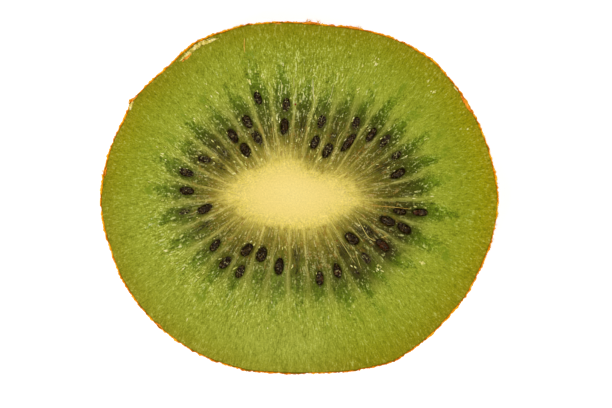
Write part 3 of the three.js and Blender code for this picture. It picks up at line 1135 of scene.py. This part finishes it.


# Where drops, each painted as a highlight, stand close together: bearing, reach, how far round it in
# millimetres, and how many.
drop_clusters = [
    (60.8, 0.794, 0.35, 5), (62, 0.82, 0.25, 5), (66, 0.78, 0.2, 3), (42.5, 0.87, 0.25, 5),
    (38.8, 0.86, 0.3, 4), (313.5, 0.424, 0.5, 5), (329.8, 0.609, 0.3, 4), (23, 0.87, 0.2, 2),
    (75, 0.85, 0.25, 2), (71, 0.83, 0.25, 2), (125, 0.62, 0.3, 3), (140, 0.55, 0.4, 3),
    (65, 0.76, 0.2, 4), (23, 0.91, 0.2, 4), (18, 0.92, 0.2, 3), (85, 0.78, 0.25, 3), (59, 0.9, 0.2, 2),
    (60, 0.04, 0.8, 1.5), (75, 0.06, 0.8, 1.5), (92, 0.08, 0.8, 1.5), (105, 0.06, 0.8, 1.5),
    (132, 0.06, 0.8, 1.5), (118, 0.1, 0.7, 1.2), (262, 0.12, 0.8, 1.0), (240, 0.15, 0.8, 1.0),
    (68, 0.02, 0.16, 16), (69, -0.03, 0.15, 9), (81, 0.02, 0.14, 16), (117, 0.03, 0.15, 9),
    (58, 0.01, 0.14, 9), (134, -0.04, 0.14, 16), (146.5, 0.02, 0.15, 8), (92, 0.03, 0.14, 8),
    (38.5, 0.86, 0.15, 14), (60.8, 0.79, 0.14, 26), (60.5, 0.82, 0.14, 26), (42, 0.86, 0.15, 10),
    (65, 0.76, 0.15, 12), (71, 0.82, 0.15, 12), (23, 0.92, 0.14, 10), (109, 0.84, 0.15, 9),
    (111, 0.6, 0.16, 14), (105, 0.62, 0.15, 10), (215, 0.58, 0.16, 14), (204, 0.6, 0.15, 24),
    (237, 0.58, 0.16, 12), (159, 0.65, 0.15, 10), (160.5, 0.6, 0.15, 10), (329.5, 0.605, 0.15, 22),
    (330, 0.63, 0.14, 18), (26, 0.61, 0.15, 8), (211, 0.61, 0.15, 9), (244, 0.6, 0.15, 9),
    (170, 0.79, 0.14, 18), (96, 0.69, 0.15, 8), (87, 0.66, 0.16, 8), (293, 0.62, 0.15, 8),
    (132, 0.57, 0.15, 14), (62.8, 0.57, 0.15, 14), (227.8, 0.84, 0.14, 10), (338.5, 0.81, 0.14, 10)]


def juice_beads(tree, start):
    """Beads over the cut where it catches the light, each turned along the fibres."""
    fan = named(tree, "fan", "FLOAT_VECTOR")
    clump = step(speckle(scaled(fan, 0.22), 1.0), 0.46, 0.62)
    density = (clump + 0.05) * named(tree, "glint") * step(named(tree, "reach"), 0.75, 0.58)
    density = (density + named(tree, "cluster")) * step(named(tree, "up"), 0.0, 1.0)
    place = add(tree, "ShaderNodeSeparateXYZ", placed_at(tree))
    stray = add(tree, "FunctionNodeRandomValue", None, None, -1.0, 1.0, data_type="FLOAT")[1]
    heading = maths("ARCTAN2", place[1] - core_y * mm, place[0] - core_x * mm) + stray * start["stray"]
    turned = add(tree, "FunctionNodeEulerToRotation", add(tree, "ShaderNodeCombineXYZ", 0.0, 0.0, heading))
    size = add(tree, "FunctionNodeRandomValue", (0.4, 0.7, 0.7), (1.7, 1.3, 1.2), data_type="FLOAT_VECTOR")
    # Drops are plumper where more than three stand together.
    crowd = at_least(named(tree, "cluster") - 3.0, 0.0)
    plump = 1.0 + at_most(crowd, 3.0) * 0.13
    return strewn(tree, start, density, turned, scaled(size, plump))


def juice_finish():
    finish, tree, place = new_finish("clear_juice")
    tone = speckle(place, 1.0 / mm, 2.0)
    # A painted highlight: pale cream in place of the clear juice's own colour.
    shade = ramp(tone, [(0.3, 206, 202, 92), (0.5, 238, 230, 126), (0.65, 255, 248, 182)])
    return dress(finish, Base_Color=shade, Roughness=0.1, IOR=1.36, Specular_IOR_Level=0.6,
                 Specular_Tint=(1.0, 0.95, 0.6, 1.0))


one_bead = bead_mesh()
juice = link_piece("juice", flesh.data.copy())
flesh_points = np.array([point.co[:] for point in juice.data.vertices]) / mm
cluster = np.zeros(len(flesh_points))
for at, out, spread, count in drop_clusters:
    drop_x, drop_y = fan_place(np.radians([at]), np.array([out]), thickness)
    gone = np.hypot(flesh_points[:, 0] - drop_x, flesh_points[:, 1] - drop_y)
    cluster += count * np.exp(-((gone / spread) ** 2))
# Drops, painted as highlights, stand beside each seed of the upper cut on the side the light comes from:
# how far off, how far round that place, and how many.
beside_x, beside_y, beside_spread, beside_count = -0.55, 0.6, 0.32, 1.7
for seed_x, seed_y, *others in upper_seeds:
    gone = np.hypot(flesh_points[:, 0] - seed_x - beside_x, flesh_points[:, 1] - seed_y - beside_y)
    cluster += beside_count * np.exp(-((gone / beside_spread) ** 2))
give_attribute(juice, "cluster", cluster)
run_tree(juice, juice_beads, body=one_bead, per_mm2=1.9, stray=0.35, seed=3, surface=juice_finish())
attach(juice, "root")
bpy.data.objects.remove(one_bead)


# ------------------------------------------------------------
# Studio: a plain white floor, soft boxes on four sides, and the camera straight above.

floor_mesh = bpy.data.meshes.new("floor")
floor_mesh.from_pydata([(-2, -2, 0), (2, -2, 0), (2, 2, 0), (-2, 2, 0)], [], [(0, 1, 2, 3)])
floor = link_piece("floor", floor_mesh)
white_floor = new_finish("white_floor")[0]
floor_mesh.materials.append(dress(white_floor, Base_Color=(0.95, 0.95, 0.95, 1), Roughness=0.8,
                                  Emission_Strength=0.35, Emission_Color=(1, 1, 1, 1)))


def soft_box(name, bearing, elevation, distance, size, power):
    light = bpy.data.lights.new(name, "AREA")
    light.shape = "DISK"
    light.size = size
    light.energy = power
    lamp = link_piece(name, light)
    flat = math.cos(math.radians(elevation)) * distance
    place = Vector((flat * math.cos(math.radians(bearing)), flat * math.sin(math.radians(bearing)),
                    math.sin(math.radians(elevation)) * distance))
    lamp.location = place
    lamp.rotation_euler = (Vector((0, 0, 0)) - place).to_track_quat("-Z", "Y").to_euler()


soft_box("soft_box_front_left", 225, 48, 0.5, 0.22, 1.8)
soft_box("soft_box_back_right", 50, 45, 0.5, 0.3, 1.3)
soft_box("soft_box_back_left", 140, 45, 0.5, 0.3, 1.0)
soft_box("soft_box_front_right", 320, 45, 0.5, 0.3, 1.0)

# The sky is bright round the horizon and dark overhead, so that the wet cut doesn't mirror it.
world = bpy.data.worlds.new("studio")
world.use_nodes = True
sky_place = add(world.node_tree, "ShaderNodeTexCoord")["Generated"]
sky_height = add(world.node_tree, "ShaderNodeSeparateXYZ", sky_place)[2]
dim_overhead = add(world.node_tree, "ShaderNodeMapRange", sky_height, 0.1, 0.6, 1.0, 0.0)
fill(world.node_tree.nodes["Background"].inputs["Strength"], dim_overhead)
bpy.context.scene.world = world
bpy.context.scene.view_settings.view_transform = "Standard"

camera = bpy.data.cameras.new("camera")
camera.lens = 100
camera.sensor_width = 36
camera.clip_start = 0.01
view = link_piece("camera", camera)
frame_width = 79.84 * mm
distance = frame_width * camera.lens / camera.sensor_width
view.location = (0.75 * mm, -0.81 * mm, thickness * mm + distance)
bpy.context.scene.camera = view
